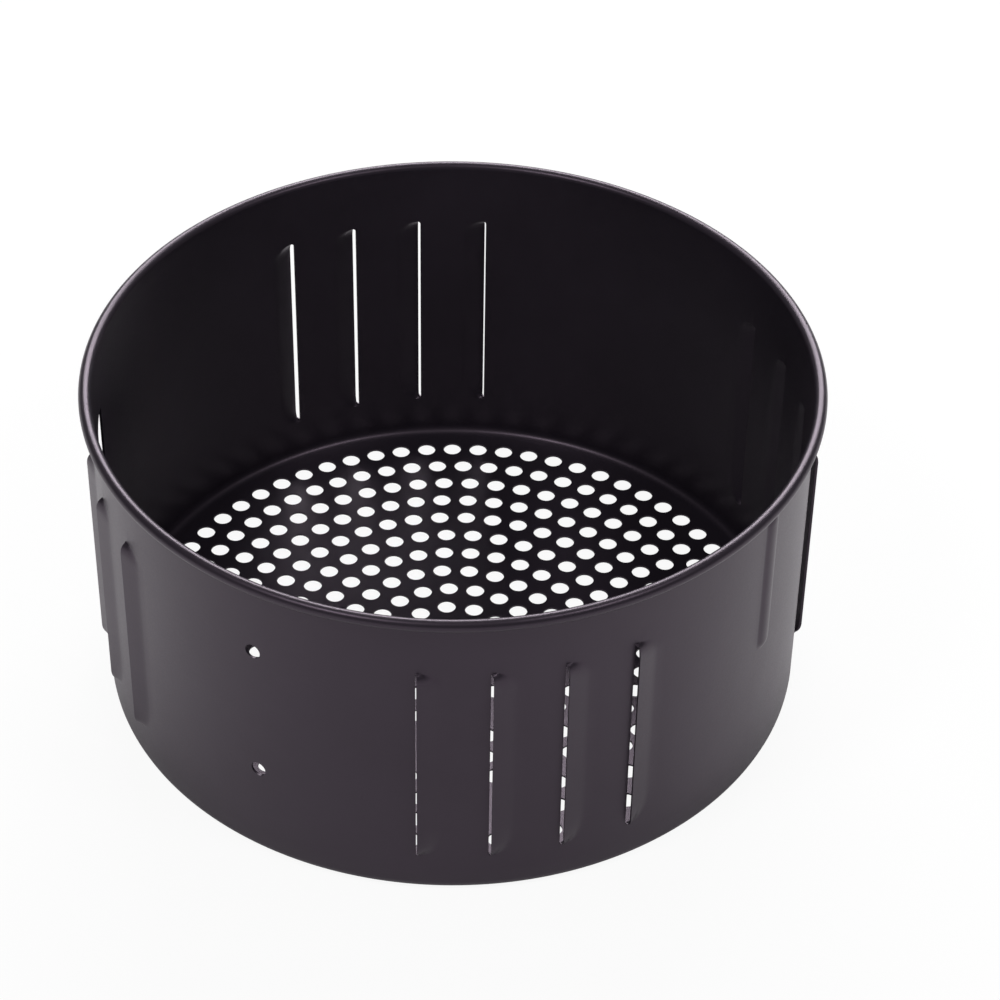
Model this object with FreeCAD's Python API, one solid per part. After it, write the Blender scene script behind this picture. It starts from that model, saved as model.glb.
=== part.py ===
# Air fryer basket: a round pan drawn from one sheet of coated steel.
# The wall flares slightly, the rim is curled outwards into a bead, the floor
# is perforated in rings, and sixteen louvres are pressed out of the wall.
# Origin: centre of the footprint, on the surface the basket stands on.
# +Z is up. The handle is screwed to the -Y side of the wall.
import FreeCAD, Part
import math
import os

V = FreeCAD.Vector

# Overall sizes, in millimetres; angles are in degrees
RIM_DIAMETER = 190.0
HEIGHT = 93.0
SHEET = 0.6

# Wall and rim
WALL_DRAFT = 0.6
BASE_CORNER_RADIUS = 3.0
CURL_HOLLOW_DIAMETER = 2.0
CURL_TURN = 290.0

# Floor holes, in rings round a centre hole
FLOOR_HOLE_DIAMETER = 5.0
FIRST_RING_RADIUS = 7.1
RING_PITCH = 7.53
HOLE_PITCH = 7.4
FLOOR_EDGE_MARGIN = 2.5
RING_START_ANGLES = (20.0, 7.5, 10.3, 11.8, 1.3, 0.6, 2.8, 4.5, 3.7, 1.2, 3.4)

# Louvres, in groups centred between the handle line and its cross line
LOUVRE_GROUPS = 4
FIRST_GROUP_ANGLE = 45.0
LOUVRES_IN_GROUP = 4
LOUVRE_STEP_ANGLE = 11.35
LOUVRE_BOTTOM_HEIGHT = 12.6
LOUVRE_TOP_DROP = 18.4
LOUVRE_REACH = 5.2
LOUVRE_CLEAR_HEIGHT = 1.2
SLOT_WIDTH = 0.5
FOOT_RADIUS = 1.0

# Upright rib pressed outwards, a quarter turn from the handle
RIB_ANGLE = 0.0
RIB_TOP_DROP = 5.0
RIB_LENGTH = 44.0
RIB_WIDTH = 5.5
RIB_RISE = 0.9

# Handle screw holes, one above the other
HANDLE_ANGLE = -90.0
HANDLE_HOLE_DIAMETER = 4.2
HANDLE_HOLE_SPACING = 40.0
HANDLE_MIDDLE_DROP = 43.7



def bump_radius(half_width, rise):
    """Radius of a round form that stands so high over so wide a foot."""
    return (half_width ** 2 + rise ** 2) / (2.0 * rise)


# Values that follow from the sizes above
RIM_RADIUS = RIM_DIAMETER / 2.0
CURL_INNER = CURL_HOLLOW_DIAMETER / 2.0
CURL_OUTER = CURL_INNER + SHEET
CURL_CENTRE_R = RIM_RADIUS - CURL_OUTER
CURL_CENTRE_Z = HEIGHT - CURL_OUTER
DRAFT = math.radians(WALL_DRAFT)
HOLE_RADIUS = FLOOR_HOLE_DIAMETER / 2.0
HOOD_RISE = LOUVRE_CLEAR_HEIGHT + SHEET
HOOD_RADIUS = bump_radius(LOUVRE_REACH, HOOD_RISE)
RIB_RADIUS = bump_radius(RIB_WIDTH / 2.0, RIB_RISE)
# A form that adds metal starts within the sheet, and one that cuts goes past it
WITHIN_SHEET = SHEET / 2.0
PAST_SHEET = 2.0 * SHEET
# Two radii closer than this are the same one
SAME = 0.001


def wall_outer_radius(z):
    """Radius of the wall's outer face at height z."""
    foot = CURL_CENTRE_R - CURL_INNER / math.cos(DRAFT)
    return foot - (CURL_CENTRE_Z - z) * math.tan(DRAFT)


def on_circle(centre_r, centre_z, radius, degrees):
    """Point of the section (radius along X, height along Z) on a circle."""
    turn = math.radians(degrees)
    return V(centre_r + radius * math.cos(turn), 0, centre_z + radius * math.sin(turn))


def arc(centre_r, centre_z, radius, start, end):
    """Section arc from the start angle to the end angle."""
    middle = (start + end) / 2.0
    points = [on_circle(centre_r, centre_z, radius, a) for a in (start, middle, end)]
    return Part.Arc(*points).toShape()


def line(a, b):
    """Straight section edge."""
    return Part.LineSegment(a, b).toShape()


def pan_shell():
    """Floor, corner, wall and curled rim, turned from one closed section."""
    wall_normal = -WALL_DRAFT
    # The corner circle touches the underside and the wall's outer face
    inner_corner = BASE_CORNER_RADIUS - SHEET
    corner_z = BASE_CORNER_RADIUS
    corner_r = wall_outer_radius(corner_z) - BASE_CORNER_RADIUS / math.cos(DRAFT)
    curl_start = 180.0 + wall_normal
    curl_end = curl_start - CURL_TURN

    outer_corner = arc(corner_r, corner_z, BASE_CORNER_RADIUS, -90.0, wall_normal)
    curl_inside = arc(CURL_CENTRE_R, CURL_CENTRE_Z, CURL_INNER, curl_start, curl_end)
    curl_outside = arc(CURL_CENTRE_R, CURL_CENTRE_Z, CURL_OUTER, curl_end, curl_start)
    inner_corner_arc = arc(corner_r, corner_z, inner_corner, wall_normal, -90.0)

    edges = [
        line(V(0, 0, 0), V(corner_r, 0, 0)),
        outer_corner,
        line(on_circle(corner_r, corner_z, BASE_CORNER_RADIUS, wall_normal),
             on_circle(CURL_CENTRE_R, CURL_CENTRE_Z, CURL_INNER, curl_start)),
        curl_inside,
        line(on_circle(CURL_CENTRE_R, CURL_CENTRE_Z, CURL_INNER, curl_end),
             on_circle(CURL_CENTRE_R, CURL_CENTRE_Z, CURL_OUTER, curl_end)),
        curl_outside,
        line(on_circle(CURL_CENTRE_R, CURL_CENTRE_Z, CURL_OUTER, curl_start),
             on_circle(corner_r, corner_z, inner_corner, wall_normal)),
        inner_corner_arc,
        line(V(corner_r, 0, SHEET), V(0, 0, SHEET)),
        line(V(0, 0, SHEET), V(0, 0, 0)),
    ]
    section = Part.Face(Part.Wire(edges))
    return section.revolve(V(0, 0, 0), V(0, 0, 1), 360)


def capsule(radius, length):
    """Upright cylinder with round ends, centred on the origin."""
    half = length / 2.0
    top = V(0, 0, half + radius)
    bottom = V(0, 0, -half - radius)
    edges = [
        Part.Arc(top, on_circle(0, half, radius, 45.0), V(radius, 0, half)).toShape(),
        line(V(radius, 0, half), V(radius, 0, -half)),
        Part.Arc(V(radius, 0, -half), on_circle(0, -half, radius, -45.0), bottom).toShape(),
        line(bottom, top),
    ]
    return Part.Face(Part.Wire(edges)).revolve(V(0, 0, 0), V(0, 0, 1), 360)


def keep_from(solid, side):
    """The part of a tool that lies from the given tangential place onwards."""
    size = 2.0 * HEIGHT
    block = Part.makeBox(size, size, size, V(-size / 2.0, side, -size / 2.0))
    return solid.common(block)


def inside_of_wall(inset):
    """The space inside the wall, down to the given depth below its outer face."""
    return Part.makeCone(wall_outer_radius(0.0) - inset, wall_outer_radius(HEIGHT) - inset, HEIGHT)


def onto_wall(tool, depth, middle_z, azimuth, inset):
    """Sets a tool's axis below the wall's outer face, leaning with the wall.

    What the tool has deeper than the inset is taken off, so it forms the wall alone.
    """
    placed = tool.copy()
    placed.translate(V(wall_outer_radius(middle_z) - depth, 0, middle_z))
    lean_point = V(wall_outer_radius(middle_z), 0, middle_z)
    placed.rotate(lean_point, V(0, 1, 0), WALL_DRAFT)
    placed = placed.cut(inside_of_wall(inset))
    placed.rotate(V(0, 0, 0), V(0, 0, 1), azimuth)
    return placed


def louvre_azimuths():
    """Azimuth of the slot edge of every louvre."""
    # The hood reaches anticlockwise from its slot, so the slot lies half a hood behind
    middle_radius = wall_outer_radius(HEIGHT / 2.0)
    half_hood = math.degrees(LOUVRE_REACH / 2.0 / middle_radius)
    azimuths = []
    for group in range(LOUVRE_GROUPS):
        centre = FIRST_GROUP_ANGLE + group * 360.0 / LOUVRE_GROUPS
        for place in range(LOUVRES_IN_GROUP):
            step = place - (LOUVRES_IN_GROUP - 1) / 2.0
            azimuths.append(centre + step * LOUVRE_STEP_ANGLE - half_hood)
    return azimuths


def louvre_tools():
    """Outer and inner forms of every louvre hood, with its slot in the inner form."""
    length = HEIGHT - LOUVRE_TOP_DROP - LOUVRE_BOTTOM_HEIGHT
    middle_z = LOUVRE_BOTTOM_HEIGHT + length / 2.0
    straight = length - 2.0 * LOUVRE_REACH
    outer = keep_from(capsule(HOOD_RADIUS, straight), 0.0)
    inner = keep_from(capsule(HOOD_RADIUS - SHEET, straight), -SLOT_WIDTH)
    depth = HOOD_RADIUS - HOOD_RISE
    hoods = [onto_wall(outer, depth, middle_z, a, WITHIN_SHEET) for a in louvre_azimuths()]
    hollows = [onto_wall(inner, depth, middle_z, a, PAST_SHEET) for a in louvre_azimuths()]
    return hoods, hollows


def rib_tools():
    """Outer and inner forms of the pressed rib."""
    middle_z = HEIGHT - RIB_TOP_DROP - RIB_LENGTH / 2.0
    straight = RIB_LENGTH - RIB_WIDTH
    depth = RIB_RADIUS - RIB_RISE
    outer = onto_wall(capsule(RIB_RADIUS, straight), depth, middle_z, RIB_ANGLE, WITHIN_SHEET)
    inner = onto_wall(capsule(RIB_RADIUS - SHEET, straight), depth, middle_z, RIB_ANGLE, PAST_SHEET)
    return outer, inner


def rounded_feet(shape, form_radii, foot_radius):
    """Rounds the creases where forms of the given radii leave the conical wall."""
    faces_at = {}
    for face in shape.Faces:
        for edge in face.Edges:
            faces_at.setdefault(edge.hashCode(), []).append((face.Surface, edge))
    creases = []
    for pairs in faces_at.values():
        surfaces = [surface for surface, edge in pairs]
        edge = pairs[0][1]
        on_wall = any(isinstance(surface, Part.Cone) for surface in surfaces)
        radii = [s.Radius for s in surfaces if isinstance(s, (Part.Cylinder, Part.Sphere))]
        on_form = any(abs(a - b) < SAME for a in radii for b in form_radii)
        # The slot's own ends are short edges, and stay as the punch leaves them
        if on_wall and on_form and edge.Length > 2.0 * SLOT_WIDTH:
            creases.append(edge)
    return shape.makeFillet(foot_radius, creases)


def handle_hole_tools():
    """Cylinders through the wall at the two handle screws."""
    tools = []
    for side in (-1, 1):
        z = HEIGHT - HANDLE_MIDDLE_DROP + side * HANDLE_HOLE_SPACING / 2.0
        start = V(wall_outer_radius(z) - 5.0 * SHEET, 0, z)
        drill = Part.makeCylinder(HANDLE_HOLE_DIAMETER / 2.0, 10.0 * SHEET, start, V(1, 0, 0))
        drill.rotate(V(0, 0, 0), V(0, 0, 1), HANDLE_ANGLE)
        tools.append(drill)
    return tools


def floor_hole_centres():
    """Centre hole, then rings of evenly spaced holes out to the corner."""
    flat_radius = wall_outer_radius(0.0) - BASE_CORNER_RADIUS
    last_ring = flat_radius - FLOOR_EDGE_MARGIN - HOLE_RADIUS
    centres = [V(0, 0, 0)]
    rings = int((last_ring - FIRST_RING_RADIUS) / RING_PITCH) + 1
    for ring in range(rings):
        radius = FIRST_RING_RADIUS + ring * RING_PITCH
        count = round(2.0 * math.pi * radius / HOLE_PITCH)
        start = RING_START_ANGLES[ring % len(RING_START_ANGLES)]
        for hole in range(count):
            turn = math.radians(start + hole * 360.0 / count)
            centres.append(V(radius * math.cos(turn), radius * math.sin(turn), 0))
    return centres


def floor_hole_tools():
    """Cylinders through the floor at every hole."""
    below = V(0, 0, -SHEET)
    tools = []
    for centre in floor_hole_centres():
        tools.append(Part.makeCylinder(HOLE_RADIUS, 3.0 * SHEET, centre + below))
    return tools


def basket():
    """The whole pan as one solid."""
    hoods, hollows = louvre_tools()
    rib_outer, rib_inner = rib_tools()
    raised = pan_shell().fuse(hoods + [rib_outer])
    raised = rounded_feet(raised, (HOOD_RADIUS, RIB_RADIUS), FOOT_RADIUS)
    pressed = raised.cut(hollows + [rib_inner])
    pressed = rounded_feet(pressed, (HOOD_RADIUS - SHEET, RIB_RADIUS - SHEET), FOOT_RADIUS + SHEET)
    drilled = pressed.cut(handle_hole_tools())
    return drilled.cut(Part.makeCompound(floor_hole_tools()))


os.makedirs("parts", exist_ok=True)
solids = basket().Solids
print("solids", len(solids), "valid", solids[0].isValid(), "volume", round(solids[0].Volume, 1))
solids[0].exportStep("parts/basket.step")
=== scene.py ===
import math

import bpy
import numpy as np
from mathutils import Matrix, Vector
from mathutils.geometry import delaunay_2d_cdt


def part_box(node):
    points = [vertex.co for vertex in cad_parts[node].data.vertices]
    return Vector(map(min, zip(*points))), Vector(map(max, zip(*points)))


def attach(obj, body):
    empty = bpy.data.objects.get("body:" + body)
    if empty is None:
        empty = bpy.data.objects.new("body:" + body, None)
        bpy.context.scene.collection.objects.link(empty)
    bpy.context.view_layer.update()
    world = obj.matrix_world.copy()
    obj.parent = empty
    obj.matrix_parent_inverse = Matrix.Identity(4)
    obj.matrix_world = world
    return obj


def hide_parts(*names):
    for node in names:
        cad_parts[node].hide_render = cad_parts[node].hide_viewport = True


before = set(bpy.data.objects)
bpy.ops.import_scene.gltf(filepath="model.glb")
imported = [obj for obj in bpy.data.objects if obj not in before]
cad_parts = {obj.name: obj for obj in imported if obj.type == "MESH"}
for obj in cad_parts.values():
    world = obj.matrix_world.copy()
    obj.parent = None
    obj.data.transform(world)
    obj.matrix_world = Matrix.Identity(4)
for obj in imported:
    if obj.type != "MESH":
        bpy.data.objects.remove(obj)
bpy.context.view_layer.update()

# The mesh is worked out in millimetres and scaled at the end. Grid lines closer than SAME are one,
# and TINY is the slack of comparisons
MM = 0.001
SAME = 1e-4
TINY = 1e-6

# Overall sizes from the frame
low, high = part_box("basket")
RIM_RADIUS = (high[0] - low[0]) / 2.0 / MM
HEIGHT = high[2] / MM

# Sheet, wall and rim, in millimetres and degrees
SHEET = 0.6
WALL_DRAFT = 0.6
BASE_CORNER_RADIUS = 3.0
CURL_INNER = 1.0
CURL_OUTER = CURL_INNER + SHEET
CURL_TURN = 290.0
CURL_CENTRE_R = RIM_RADIUS - CURL_OUTER
CURL_CENTRE_Z = HEIGHT - CURL_OUTER
DRAFT = math.radians(WALL_DRAFT)

# Floor holes, in rings round a centre hole
FLOOR_HOLE_RADIUS = 2.5
FIRST_RING_RADIUS = 7.1
RING_PITCH = 7.53
HOLE_PITCH = 7.4
RING_START_ANGLES = (20.0, 7.5, 10.3, 11.8, 1.3, 0.6, 2.8, 4.5, 3.7, 1.2, 3.4)
HOLE_SEGMENTS = 24

# Louvres: where they stand. The crest is the width that centres a group on its line
LOUVRE_GROUPS = 4
LOUVRES_IN_GROUP = 4
LOUVRE_STEP_ANGLE = 11.35
LOUVRE_BOTTOM = 12.6
LOUVRE_TOP_DROP = 18.4
LOUVRE_TOP = HEIGHT - LOUVRE_TOP_DROP
LOUVRE_CREST = 5.2
SLOT_WIDTH = 0.5
SLOT_END_INSET = 0.6

# Louvres: the hood, from its lip down to its foot and towards its ends
LOUVRE_CLEAR_HEIGHT = 1.2
LOUVRE_RISE = LOUVRE_CLEAR_HEIGHT + SHEET
LOUVRE_REACH = 6.2
LOUVRE_TOP_TAPER = 5.0
LOUVRE_BOTTOM_TAPER = 11.0
LOUVRE_SHOULDER = 3.2
LOUVRE_FOOT_SHARE = 0.15

# Upright rib, a quarter turn from the handle
RIB_TOP_DROP = 5.0
RIB_LENGTH = 44.0
RIB_TOP = HEIGHT - RIB_TOP_DROP
RIB_BOTTOM = RIB_TOP - RIB_LENGTH
RIB_HALF_WIDTH = 2.75
RIB_RISE = 0.9
RIB_FOOT_RADIUS = 1.0

# Handle screw holes. Each lies in a square patch of its own in the wall's grid
HANDLE_AZIMUTH = -90.0
HANDLE_HOLE_RADIUS = 2.1
HANDLE_HOLE_SPACING = 40.0
HANDLE_MIDDLE = HEIGHT - 43.7
HANDLE_HEIGHTS = (HANDLE_MIDDLE - HANDLE_HOLE_SPACING / 2.0, HANDLE_MIDDLE + HANDLE_HOLE_SPACING / 2.0)
HOLE_PATCH_HALF = 4.4
HOLE_PATCH_STEPS = 4
HOLE_PATCH_SLACK = 0.01
HOLE_RING_SHARES = (0.5, 0.88, 1.0)


def wall_radius(z):
    """Radius of the wall's outer face at height z."""
    return CURL_CENTRE_R - CURL_INNER / math.cos(DRAFT) - (CURL_CENTRE_Z - z) * math.tan(DRAFT)


MIDDLE_RADIUS = wall_radius(HEIGHT / 2.0)


def degrees_along(distance):
    """Azimuth that a distance along the wall takes up."""
    return math.degrees(distance / MIDDLE_RADIUS)


def half_turned(azimuth):
    """Azimuths brought between -180 and 180 degrees."""
    return (azimuth + 180.0) % 360.0 - 180.0


def form_height(q, form_radius, rise, foot, drop):
    """Height of a pressed form at distance q from its spine, above the wall's outer face.

    drop is 0 for the outer skin and the sheet's thickness for the inner one.
    """
    depth = form_radius - rise
    foot_centre = math.sqrt((form_radius + foot) ** 2 - (depth + foot) ** 2)
    radius = form_radius - drop
    inner_foot = foot + drop
    meeting = foot_centre * radius / (radius + inner_foot)
    crown = np.sqrt(np.maximum(radius ** 2 - q ** 2, 0.0)) - depth
    blend = foot - np.sqrt(np.maximum(inner_foot ** 2 - (q - foot_centre) ** 2, 0.0))
    return np.where(q < meeting, crown, np.where(q < foot_centre, blend, -drop))


def louvre_azimuths():
    """Azimuth of every louvre's slot edge."""
    places = []
    for group in range(LOUVRE_GROUPS):
        centre = 360.0 / LOUVRE_GROUPS * (group + 0.5)
        for place in range(LOUVRES_IN_GROUP):
            step = place - (LOUVRES_IN_GROUP - 1) / 2.0
            places.append(centre + step * LOUVRE_STEP_ANGLE - degrees_along(LOUVRE_CREST / 2.0))
    return places


def filled(values, step):
    """The given values with evenly spaced ones added wherever a gap is wider than the step."""
    values = sorted(values)
    out = [values[0]]
    for value in values[1:]:
        pieces = max(1, math.ceil((value - out[-1]) / step - TINY))
        start = out[-1]
        out += [start + (value - start) * (k + 1) / pieces for k in range(pieces)]
    return out


def merged(values, closest):
    """Sorted values, with any that lie closer than the given distance left out."""
    out = []
    for value in sorted(values):
        if not out or value - out[-1] > closest:
            out.append(value)
    return out


# Distances, in millimetres, at which grid lines follow the louvres, the rib and the screw holes
LOUVRE_LINES = (0.45, 1.1, 1.9, 2.8, 3.7, 4.5, 5.3, LOUVRE_REACH)
LOUVRE_END_LINES = (0.0, 0.12, 0.35, 1.0, 1.5, 2.0, 2.8, 3.8, 5.0, 7.0, 9.0, LOUVRE_BOTTOM_TAPER)
RIB_LINES = (0.0, 0.8, 1.5, 2.1, 2.6, 3.0, 3.3)
PATCH_RANGE = range(-HOLE_PATCH_STEPS, HOLE_PATCH_STEPS + 1)
PATCH_LINES = tuple(HOLE_PATCH_HALF * k / HOLE_PATCH_STEPS for k in PATCH_RANGE)

# Gaps between grid lines: the smallest, in millimetres, and the widest, in degrees and millimetres
COLUMN_GAP = 0.18
ROW_GAP = 0.11
WIDEST_COLUMN = 1.6
TALLEST_ROW = 6.0


def grid_lines(exact, soft, closest, widest):
    """Exact lines, soft lines where there is room between them, and even ones in wide gaps."""
    kept = merged(exact, SAME)
    for value in sorted(soft):
        if all(abs(value - other) > closest for other in kept):
            kept.append(value)
    return filled(kept, widest)


def column_azimuths():
    """Azimuths of the mesh's upright lines, once round the basket."""
    exact = []
    soft = []
    for place in louvre_azimuths():
        exact += [place - degrees_along(SLOT_WIDTH), place]
        soft += [place + degrees_along(d) for d in LOUVRE_LINES]
    for d in RIB_LINES:
        soft += [degrees_along(d), -degrees_along(d)]
    exact += [HANDLE_AZIMUTH + degrees_along(d) for d in PATCH_LINES]
    start = min(value % 360.0 for value in exact)
    turned = [(value - start) % 360.0 for value in exact] + [360.0]
    soft_turned = [(value - start) % 360.0 for value in soft]
    lines = grid_lines(turned, soft_turned, degrees_along(COLUMN_GAP), WIDEST_COLUMN)
    return np.array(lines[:-1]) + start


def wall_heights(lowest, highest):
    """Heights of the wall's level lines, on its outer face."""
    exact = [lowest, highest, LOUVRE_BOTTOM + SLOT_END_INSET, LOUVRE_TOP - SLOT_END_INSET]
    for height in HANDLE_HEIGHTS:
        exact += [height - HOLE_PATCH_HALF, height + HOLE_PATCH_HALF]
    soft = []
    for q in LOUVRE_END_LINES:
        soft += [LOUVRE_BOTTOM + q, LOUVRE_TOP - q]
    for q in RIB_LINES:
        soft += [RIB_BOTTOM + RIB_HALF_WIDTH - q, RIB_TOP - RIB_HALF_WIDTH + q]
    for height in HANDLE_HEIGHTS:
        soft += [height + d for d in PATCH_LINES]
    inside = [z for z in soft if lowest < z < highest]
    return grid_lines(exact, inside, ROW_GAP, TALLEST_ROW)


def form_radius(half_width, rise):
    """Radius of a round form that stands so high over so wide a foot."""
    return (half_width ** 2 + rise ** 2) / (2.0 * rise)


def spine_distance(along, z, bottom, top, half_width):
    """Distance from the spine of a form with round ends."""
    beyond = np.maximum(np.maximum(z - (top - half_width), (bottom + half_width) - z), 0.0)
    return np.hypot(along, beyond)


def round_rise(share):
    """Height of a quarter circle that starts upright at 0 and is level at 1."""
    return np.sqrt(1.0 - (1.0 - np.clip(share, 0.0, 1.0)) ** 2)


def louvre_height(along, z):
    """How far a louvre's hood stands off the wall, from its lip at 0 along the wall."""
    from_bottom = z - LOUVRE_BOTTOM
    from_top = LOUVRE_TOP - z
    lip = LOUVRE_RISE * round_rise(np.minimum(from_bottom, from_top) / LOUVRE_SHOULDER)
    taper = np.minimum(from_bottom / LOUVRE_BOTTOM_TAPER, from_top / LOUVRE_TOP_TAPER)
    reach = LOUVRE_REACH * round_rise(taper)
    left = 1.0 - np.clip(along / np.maximum(reach, TINY), 0.0, 1.0)
    return lip * left ** 2 * (1.0 + LOUVRE_FOOT_SHARE) / (left + LOUVRE_FOOT_SHARE)


def wall_offset(azimuth, z, drop):
    """How far the skin stands off the wall's outer face, for arrays of azimuths and heights."""
    offset = np.full(np.broadcast(azimuth, z).shape, -drop)
    for place in louvre_azimuths():
        along = np.radians(half_turned(azimuth - place)) * MIDDLE_RADIUS
        offset = offset + np.where(along > -TINY, louvre_height(along, z), 0.0)
    rib = form_radius(RIB_HALF_WIDTH, RIB_RISE)
    along = np.radians(half_turned(azimuth)) * MIDDLE_RADIUS
    q = spine_distance(along, z, RIB_BOTTOM, RIB_TOP, RIB_HALF_WIDTH)
    return np.maximum(offset, form_height(q, rib, RIB_RISE, RIB_FOOT_RADIUS, drop))


def wall_points(azimuth, z, drop):
    """Points of the wall's outer skin (drop 0) or inner skin (drop the sheet's thickness)."""
    offset = wall_offset(azimuth, z, drop)
    radius = wall_radius(z) + offset * math.cos(DRAFT)
    height = z - offset * math.sin(DRAFT) + 0.0 * azimuth
    turn = np.radians(azimuth)
    return np.stack([radius * np.cos(turn), radius * np.sin(turn), height], -1)


def turned_points(azimuth, radius, z):
    """Points of a ring of the turned corner or curl."""
    turn = np.radians(azimuth)
    return np.stack([radius * np.cos(turn), radius * np.sin(turn), z + 0.0 * turn], -1)


# Turned stretches of the section. The flat margin lies between the corner and the floor's mesh
CORNER_STEPS = 6
CURL_STEPS = 30
FLAT_MARGIN = 0.35
CORNER_CENTRE_Z = BASE_CORNER_RADIUS
CORNER_CENTRE_R = wall_radius(CORNER_CENTRE_Z) - BASE_CORNER_RADIUS / math.cos(DRAFT)


class Sheet:
    """The basket's sheet as two skins, outer and inner, with the same faces."""

    def __init__(self):
        self.outer = []
        self.inner = []
        self.faces = []

    def add(self, outer, inner):
        """Adds matching points to both skins and returns their numbers."""
        first = len(self.outer)
        self.outer += [tuple(p) for p in outer]
        self.inner += [tuple(p) for p in inner]
        return list(range(first, first + len(outer)))

    def solid(self):
        """Both skins, joined along every open edge by the sheet's own thickness."""
        count = len(self.outer)
        faces = [list(face) for face in self.faces]
        faces += [[k + count for k in reversed(face)] for face in self.faces]
        directed = set()
        for face in self.faces:
            directed.update(zip(face, face[1:] + face[:1]))
        for a, b in sorted(directed):
            if (b, a) not in directed:
                faces.append([b, a, a + count, b + count])
        return self.outer + self.inner, faces


def add_turned_rows(sheet, azimuths):
    """Corner, wall and curl, as rows of points. Returns the rows' numbers and wall heights."""
    rows = []
    edge = CORNER_CENTRE_R - FLAT_MARGIN
    flat = (turned_points(azimuths, edge, 0.0), turned_points(azimuths, edge, SHEET))
    rows.append((sheet.add(*flat), None))
    for step in range(CORNER_STEPS):
        angle = math.radians(-90.0 + (90.0 - WALL_DRAFT) * step / CORNER_STEPS)
        ring = []
        for radius in (BASE_CORNER_RADIUS, BASE_CORNER_RADIUS - SHEET):
            r = CORNER_CENTRE_R + radius * math.cos(angle)
            ring.append(turned_points(azimuths, r, CORNER_CENTRE_Z + radius * math.sin(angle)))
        rows.append((sheet.add(*ring), None))
    lowest = CORNER_CENTRE_Z - BASE_CORNER_RADIUS * math.sin(DRAFT)
    highest = CURL_CENTRE_Z + CURL_INNER * math.sin(DRAFT)
    for z in wall_heights(lowest, highest):
        skins = [wall_points(azimuths, z, drop) for drop in (0.0, SHEET)]
        rows.append((sheet.add(*skins), z))
    for step in range(1, CURL_STEPS + 1):
        angle = math.radians(180.0 - WALL_DRAFT - CURL_TURN * step / CURL_STEPS)
        ring = []
        for radius in (CURL_INNER, CURL_OUTER):
            r = CURL_CENTRE_R + radius * math.cos(angle)
            ring.append(turned_points(azimuths, r, CURL_CENTRE_Z + radius * math.sin(angle)))
        rows.append((sheet.add(*ring), None))
    return rows


def slot_columns(azimuths):
    """Number of the column that each slot fills."""
    columns = set()
    for place in louvre_azimuths():
        start = (place - degrees_along(SLOT_WIDTH)) % 360.0
        away = np.abs(half_turned(azimuths - start))
        columns.add(int(np.argmin(away)))
    return columns


def nearest(values, wanted):
    """Index of the value closest to the wanted one."""
    return int(np.argmin(np.abs(np.asarray(values) - wanted)))


def add_wall_faces(sheet, rows, azimuths):
    """Faces between the rows, with the slots and the screw holes left open."""
    count = len(azimuths)
    slots = slot_columns(azimuths)
    slot_low = LOUVRE_BOTTOM + SLOT_END_INSET
    slot_high = LOUVRE_TOP - SLOT_END_INSET
    across = np.radians(half_turned(azimuths - HANDLE_AZIMUTH)) * MIDDLE_RADIUS
    for j in range(len(rows) - 1):
        numbers, z = rows[j]
        above, z_above = rows[j + 1]
        on_wall = z is not None and z_above is not None
        middle = (z + z_above) / 2.0 if on_wall else 0.0
        in_slot = on_wall and slot_low < middle < slot_high
        by_hole = on_wall and min(abs(middle - h) for h in HANDLE_HEIGHTS) < HOLE_PATCH_HALF
        for i in range(count):
            k = (i + 1) % count
            if in_slot and i in slots:
                continue
            if by_hole and max(abs(across[i]), abs(across[k])) < HOLE_PATCH_HALF + HOLE_PATCH_SLACK:
                continue
            sheet.faces.append([numbers[i], numbers[k], above[k], above[i]])


def add_screw_hole(sheet, rows, azimuths, height):
    """Rings of faces from the square left in the grid to the round hole."""
    across = np.radians(half_turned(azimuths - HANDLE_AZIMUTH)) * MIDDLE_RADIUS
    heights = [z if z is not None else -HEIGHT for _, z in rows]
    left = nearest(across, -HOLE_PATCH_HALF)
    right = nearest(across, HOLE_PATCH_HALF)
    bottom = nearest(heights, height - HOLE_PATCH_HALF)
    top = nearest(heights, height + HOLE_PATCH_HALF)
    loop = [(bottom, i) for i in range(left, right)]
    loop += [(j, right) for j in range(bottom, top)]
    loop += [(top, i) for i in range(right, left, -1)]
    loop += [(j, left) for j in range(top, bottom, -1)]
    edge = np.array([(across[i], heights[j] - height) for j, i in loop])
    length = np.hypot(edge[:, 0], edge[:, 1])[:, None]
    circle = edge / length * HANDLE_HOLE_RADIUS
    previous = [rows[j][0][i] for j, i in loop]
    for share in HOLE_RING_SHARES:
        place = edge + (circle - edge) * share
        azimuth = HANDLE_AZIMUTH + np.degrees(place[:, 0] / MIDDLE_RADIUS)
        z = height + place[:, 1]
        ring = sheet.add(wall_points(azimuth, z, 0.0), wall_points(azimuth, z, SHEET))
        for n in range(len(loop)):
            m = (n + 1) % len(loop)
            sheet.faces.append([previous[n], previous[m], ring[m], ring[n]])
        previous = ring


def floor_holes():
    """Centre of every floor hole: one in the middle, then the rings."""
    centres = [(0.0, 0.0)]
    for ring, start in enumerate(RING_START_ANGLES):
        radius = FIRST_RING_RADIUS + ring * RING_PITCH
        count = round(2.0 * math.pi * radius / HOLE_PITCH)
        for hole in range(count):
            turn = math.radians(start + hole * 360.0 / count)
            centres.append((radius * math.cos(turn), radius * math.sin(turn)))
    return centres


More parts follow.
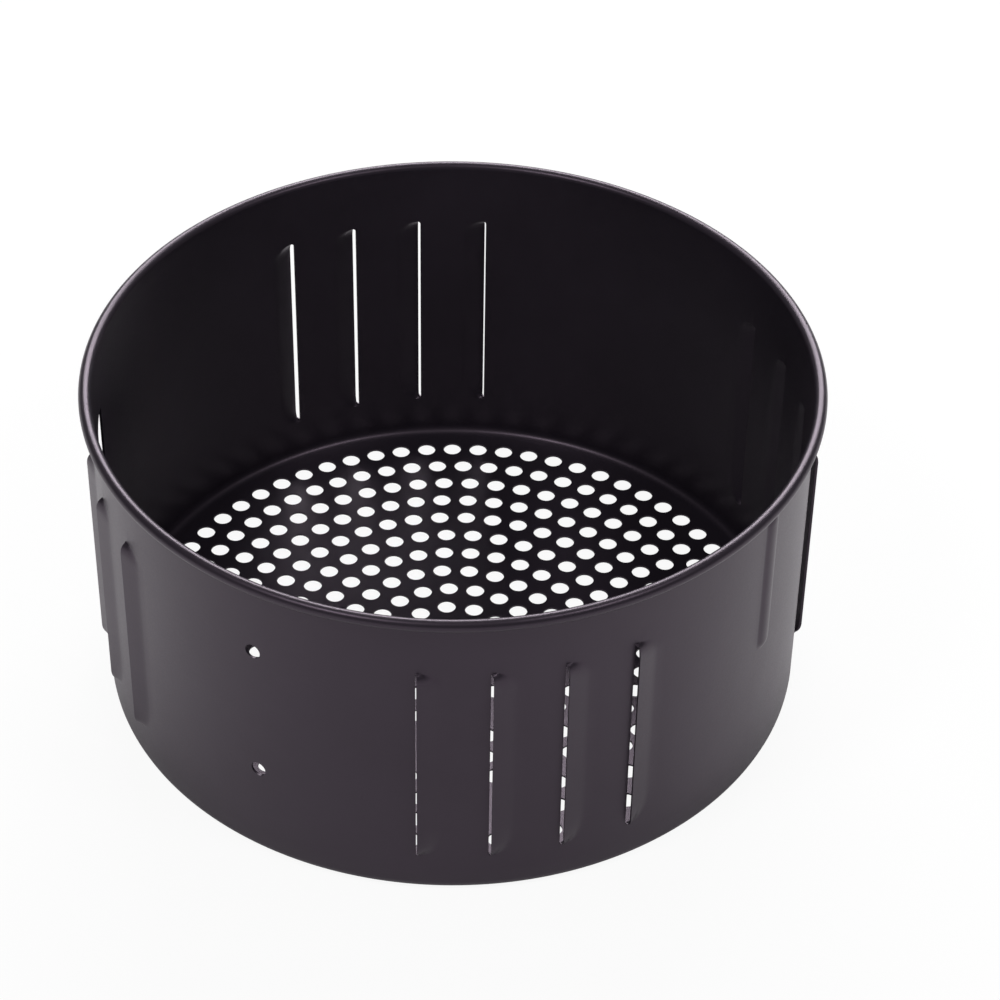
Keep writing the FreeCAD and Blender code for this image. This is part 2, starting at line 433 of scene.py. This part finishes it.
def add_floor(sheet, ring):
    """Flat perforated floor inside the corner's ring of points."""
    centres = floor_holes()
    points = [Vector(sheet.outer[k][:2]) for k in ring]
    owner = [-1] * len(ring)
    edges = [(k, (k + 1) % len(ring)) for k in range(len(ring))]
    for number, centre in enumerate(centres):
        first = len(points)
        for step in range(HOLE_SEGMENTS):
            turn = 2.0 * math.pi * step / HOLE_SEGMENTS
            x = centre[0] + FLOOR_HOLE_RADIUS * math.cos(turn)
            y = centre[1] + FLOOR_HOLE_RADIUS * math.sin(turn)
            points.append(Vector((x, y)))
            owner.append(number)
            edges.append((first + step, first + (step + 1) % HOLE_SEGMENTS))
    made = delaunay_2d_cdt(points, edges, [], 0, TINY)
    source = [originals[0] for originals in made[3]]
    rest = points[len(ring):]
    below = [(p.x, p.y, 0.0) for p in rest]
    above = [(p.x, p.y, SHEET) for p in rest]
    numbers = list(ring) + sheet.add(below, above)
    for triangle in made[2]:
        corners = [source[k] for k in triangle]
        owners = set(owner[k] for k in corners)
        if len(owners) == 1 and owners != {-1}:
            continue
        a, b, c = [points[k] for k in corners]
        anticlockwise = (b - a).cross(c - a) > 0.0
        order = corners[::-1] if anticlockwise else corners
        sheet.faces.append([numbers[k] for k in order])


SHARP_ANGLE = 38.0


def basket_mesh():
    """The whole basket as one closed mesh, in metres."""
    azimuths = column_azimuths()
    sheet = Sheet()
    rows = add_turned_rows(sheet, azimuths)
    add_wall_faces(sheet, rows, azimuths)
    for height in HANDLE_HEIGHTS:
        add_screw_hole(sheet, rows, azimuths, height)
    add_floor(sheet, rows[0][0])
    points, faces = sheet.solid()
    mesh = bpy.data.meshes.new("basket_sheet")
    mesh.from_pydata([[c * MM for c in p] for p in points], [], faces)
    mesh.validate()
    mesh.shade_smooth()
    mesh.set_sharp_from_angle(angle=math.radians(SHARP_ANGLE))
    return mesh


class Nodes:
    """Short way to build the nodes of a material or the world."""

    def __init__(self, owner, output_kind):
        owner.use_nodes = True
        self.tree = owner.node_tree
        self.tree.nodes.clear()
        self.output = self.add(output_kind)

    def add(self, kind, **settings):
        """Adds a node. Settings are its properties."""
        node = self.tree.nodes.new(kind)
        for name, value in settings.items():
            setattr(node, name, value)
        return node

    def link(self, source, target):
        """Links an output socket to an input socket."""
        self.tree.links.new(source, target)

    def noise(self, scale, detail, roughness):
        """Solid noise in object space, with its scale in cells per metre."""
        place = self.add("ShaderNodeTexCoord")
        noise = self.add("ShaderNodeTexNoise")
        noise.inputs["Scale"].default_value = scale
        noise.inputs["Detail"].default_value = detail
        noise.inputs["Roughness"].default_value = roughness
        self.link(place.outputs["Object"], noise.inputs["Vector"])
        return noise.outputs["Fac"]

    def ranged(self, value, low, high, out_low, out_high):
        """A value stretched from one range to another."""
        node = self.add("ShaderNodeMapRange")
        node.inputs["From Min"].default_value = low
        node.inputs["From Max"].default_value = high
        node.inputs["To Min"].default_value = out_low
        node.inputs["To Max"].default_value = out_high
        self.link(value, node.inputs["Value"])
        return node.outputs["Result"]

    def mixed(self, share, first, second):
        """A colour between two colours."""
        node = self.add("ShaderNodeMix", data_type="RGBA")
        self.link(share, node.inputs["Factor"])
        for socket, colour in ((node.inputs[6], first), (node.inputs[7], second)):
            socket.default_value = (*colour, 1.0)
        return node.outputs[2]

    def bump(self, height, distance, under=None):
        """A bump of the given depth in metres, over another one if given."""
        node = self.add("ShaderNodeBump")
        node.inputs["Strength"].default_value = 1.0
        node.inputs["Distance"].default_value = distance
        self.link(height, node.inputs["Height"])
        if under is not None:
            self.link(under, node.inputs["Normal"])
        return node.outputs["Normal"]


# The coating: near-black with a trace of purple, semi-matt, with a fine orange peel
COATING_DARK = (0.0120, 0.0099, 0.0140)
COATING_LIGHT = (0.0170, 0.0140, 0.0198)
COATING_ROUGHNESS = (0.33, 0.40)
COATING_SPECULAR = 0.55
COATING_SPECULAR_TINT = (1.0, 0.79, 1.0)

# Noises as cells per metre, detail and roughness, and the depths of the bumps in metres
CLOUDS = (28.0, 4.0, 0.55)
SPECKLE = (2600.0, 2.0, 0.6)
PEEL = (900.0, 2.0, 0.5)
WAVES = (60.0, 1.0, 0.4)
NOISE_SPREAD = (0.3, 0.7)
PEEL_DEPTH = 0.000012
WAVE_DEPTH = 0.00012


def coating_material():
    """Sprayed non-stick coating."""
    material = bpy.data.materials.new("nonstick_coating")
    nodes = Nodes(material, "ShaderNodeOutputMaterial")
    shader = nodes.add("ShaderNodeBsdfPrincipled")
    share = nodes.ranged(nodes.noise(*CLOUDS), *NOISE_SPREAD, 0.0, 1.0)
    nodes.link(nodes.mixed(share, COATING_DARK, COATING_LIGHT), shader.inputs["Base Color"])
    roughness = nodes.ranged(nodes.noise(*SPECKLE), *NOISE_SPREAD, *COATING_ROUGHNESS)
    nodes.link(roughness, shader.inputs["Roughness"])
    shader.inputs["Specular IOR Level"].default_value = COATING_SPECULAR
    shader.inputs["Specular Tint"].default_value = (*COATING_SPECULAR_TINT, 1.0)
    waves = nodes.bump(nodes.noise(*WAVES), WAVE_DEPTH)
    peel = nodes.bump(nodes.noise(*PEEL), PEEL_DEPTH, waves)
    nodes.link(peel, shader.inputs["Normal"])
    nodes.link(shader.outputs["BSDF"], nodes.output.inputs["Surface"])
    return material


def ray_kinds(nodes):
    """Two values: 1 for a camera ray, and 1 for a ray from a reflection or a transmission."""
    path = nodes.add("ShaderNodeLightPath")
    either = nodes.add("ShaderNodeMath", operation="MAXIMUM")
    nodes.link(path.outputs["Is Glossy Ray"], either.inputs[0])
    nodes.link(path.outputs["Is Transmission Ray"], either.inputs[1])
    return path.outputs["Is Camera Ray"], either.outputs["Value"]


# The studio floor: how much of it glows for the camera and for reflections, and within which
# distances from the middle, in metres, the glow in reflections passes from under the basket to
# outside.
# The lower glow under the basket is a painted shadow in the basket's reflections, and the purple
# tint of the glow in reflections is a painted tint on the basket's sheen
WHITE = (1.0, 1.0, 1.0)
FLOOR_WHITE = (0.86, 0.86, 0.86)
FLOOR_SHEEN_PAINTED_TINT = (1.0, 0.92, 1.0)
FLOOR_GLOW_SEEN = 0.92
FLOOR_GLOW_REFLECTED = 0.22
FLOOR_GLOW_PAINTED_SHADE_UNDER = 0.04
FLOOR_PAINTED_SHADE_EDGE = (0.088, 0.100)


def floor_material():
    """White floor that keeps a light shadow. In reflections its glow is dimmed under the basket, a
    painted shadow, and tinted purple, a painted tint on the basket's sheen.
    """
    material = bpy.data.materials.new("studio_floor")
    nodes = Nodes(material, "ShaderNodeOutputMaterial")
    matt = nodes.add("ShaderNodeBsdfDiffuse")
    matt.inputs["Color"].default_value = (*FLOOR_WHITE, 1.0)
    glow = nodes.add("ShaderNodeEmission")
    glow.inputs["Strength"].default_value = 1.0
    seen, reflected = ray_kinds(nodes)
    # In reflections the glow takes a purple tint, a painted tint on the basket's sheen
    nodes.link(nodes.mixed(reflected, WHITE, FLOOR_SHEEN_PAINTED_TINT), glow.inputs["Color"])
    place = nodes.add("ShaderNodeTexCoord")
    away = nodes.add("ShaderNodeVectorMath", operation="LENGTH")
    nodes.link(place.outputs["Object"], away.inputs[0])
    # The glow in reflections drops under the basket: a painted shadow
    painted_shade_glow_range = (FLOOR_GLOW_PAINTED_SHADE_UNDER, FLOOR_GLOW_REFLECTED)
    reflected_glow_with_painted_shade = nodes.ranged(away.outputs["Value"], *FLOOR_PAINTED_SHADE_EDGE, *painted_shade_glow_range)
    reflected_share = nodes.add("ShaderNodeMath", operation="MULTIPLY")
    nodes.link(reflected, reflected_share.inputs[0])
    nodes.link(reflected_glow_with_painted_shade, reflected_share.inputs[1])
    seen_share = nodes.ranged(seen, 0.0, 1.0, 0.0, FLOOR_GLOW_SEEN)
    greater = nodes.add("ShaderNodeMath", operation="MAXIMUM")
    nodes.link(seen_share, greater.inputs[0])
    nodes.link(reflected_share.outputs["Value"], greater.inputs[1])
    pale = nodes.add("ShaderNodeMixShader")
    nodes.link(greater.outputs["Value"], pale.inputs["Fac"])
    nodes.link(matt.outputs["BSDF"], pale.inputs[1])
    nodes.link(glow.outputs["Emission"], pale.inputs[2])
    nodes.link(pale.outputs["Shader"], nodes.output.inputs["Surface"])
    return material


# The surroundings. Reflections see white below and a dim studio above, with the change between these
# two heights of the ray's direction, where 0 is the horizon and 1 is straight up
WORLD_LIGHT = 0.36
BACKDROP_TOP = (-0.05, 0.12)
STUDIO_DIM = (0.12, 0.12, 0.12)


def set_world():
    """White surroundings, and a plain even light on the object."""
    world = bpy.data.worlds.new("studio")
    bpy.context.scene.world = world
    nodes = Nodes(world, "ShaderNodeOutputWorld")
    light = nodes.add("ShaderNodeBackground")
    light.inputs["Color"].default_value = (*WHITE, 1.0)
    light.inputs["Strength"].default_value = WORLD_LIGHT
    backdrop = nodes.add("ShaderNodeBackground")
    backdrop.inputs["Color"].default_value = (*WHITE, 1.0)
    studio = nodes.add("ShaderNodeBackground")
    place = nodes.add("ShaderNodeTexCoord")
    parts = nodes.add("ShaderNodeSeparateXYZ")
    nodes.link(place.outputs["Generated"], parts.inputs["Vector"])
    share = nodes.ranged(parts.outputs["Z"], *BACKDROP_TOP, 0.0, 1.0)
    nodes.link(nodes.mixed(share, WHITE, STUDIO_DIM), studio.inputs["Color"])
    seen, reflected = ray_kinds(nodes)
    first = nodes.add("ShaderNodeMixShader")
    nodes.link(reflected, first.inputs["Fac"])
    nodes.link(light.outputs["Background"], first.inputs[1])
    nodes.link(studio.outputs["Background"], first.inputs[2])
    second = nodes.add("ShaderNodeMixShader")
    nodes.link(seen, second.inputs["Fac"])
    nodes.link(first.outputs["Shader"], second.inputs[1])
    nodes.link(backdrop.outputs["Background"], second.inputs[2])
    nodes.link(second.outputs["Shader"], nodes.output.inputs["Surface"])


def add_object(name, data):
    """A new object in the scene."""
    made = bpy.data.objects.new(name, data)
    bpy.context.collection.objects.link(made)
    return made


# In metres
FLOOR_SIZE = 8.0
FLOOR_DROP = 0.0002


def add_floor_plane():
    """The studio floor, just under the basket."""
    half = FLOOR_SIZE / 2.0
    mesh = bpy.data.meshes.new("studio_floor")
    corners = [(-half, -half, 0.0), (half, -half, 0.0), (half, half, 0.0), (-half, half, 0.0)]
    mesh.from_pydata(corners, [], [(0, 1, 2, 3)])
    mesh.materials.append(floor_material())
    floor = add_object("studio_floor", mesh)
    floor.location.z = -FLOOR_DROP


def direction(azimuth, elevation):
    """From the basket towards a viewer or a lamp. Azimuth 0 is the handle's side, -Y."""
    level = math.cos(elevation)
    return Vector((math.sin(azimuth) * level, -math.cos(azimuth) * level, math.sin(elevation)))


def add_lamp(name, azimuth, elevation, distance, size, power):
    """A soft box that faces the basket. Angles are in degrees, sizes in metres, power in watts."""
    data = bpy.data.lights.new(name, "AREA")
    data.shape = "RECTANGLE"
    data.size, data.size_y = size
    data.energy = power
    lamp = add_object(name, data)
    away = direction(math.radians(azimuth), math.radians(elevation))
    lamp.location = away * distance
    lamp.rotation_euler = away.to_track_quat("Z", "Y").to_euler()


# Camera, fitted to the rim, base outline, floor holes and louvre ends in the photo. The lens and
# sensor are in millimetres, the distances in metres
FOCAL_LENGTH = 130.45
SENSOR = 36.0
NEAREST_SEEN = 0.01
CAMERA_AZIMUTH = math.radians(30.555)
CAMERA_ELEVATION = math.radians(40.256)
CAMERA_ROLL = math.radians(0.94)
CAMERA_DISTANCE = 0.950
CAMERA_OFFSET = (-0.012382, -0.003471)


def add_camera():
    """The photo's view."""
    data = bpy.data.cameras.new("camera")
    data.lens = FOCAL_LENGTH
    data.sensor_width = SENSOR
    data.clip_start = NEAREST_SEEN
    a, e = CAMERA_AZIMUTH, CAMERA_ELEVATION
    level = Vector((math.cos(a), math.sin(a), 0.0))
    upward = Vector((-math.sin(a) * math.sin(e), math.cos(a) * math.sin(e), math.cos(e)))
    back = direction(a, e)
    right = math.cos(CAMERA_ROLL) * level + math.sin(CAMERA_ROLL) * upward
    up = math.cos(CAMERA_ROLL) * upward - math.sin(CAMERA_ROLL) * level
    target = Vector((0.0, 0.0, HEIGHT * MM / 2.0))
    place = target + back * CAMERA_DISTANCE - right * CAMERA_OFFSET[0] - up * CAMERA_OFFSET[1]
    camera = add_object("camera", data)
    turned = Matrix((right, up, back)).transposed().to_4x4()
    camera.matrix_world = Matrix.Translation(place) @ turned
    bpy.context.scene.camera = camera


basket_piece = add_object("basket_coated", basket_mesh())
basket_piece.data.materials.append(coating_material())
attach(basket_piece, "root")
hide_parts("basket")

add_floor_plane()
set_world()
add_lamp("back_box", azimuth=206.0, elevation=37.0, distance=1.2, size=(0.95, 0.4), power=14.0)
add_lamp("left_spot", azimuth=-14.0, elevation=60.0, distance=1.3, size=(0.2, 0.2), power=3.5)
add_lamp("right_spot", azimuth=86.0, elevation=58.0, distance=1.3, size=(0.2, 0.2), power=2.5)
add_camera()
bpy.context.scene.view_settings.view_transform = "Standard"
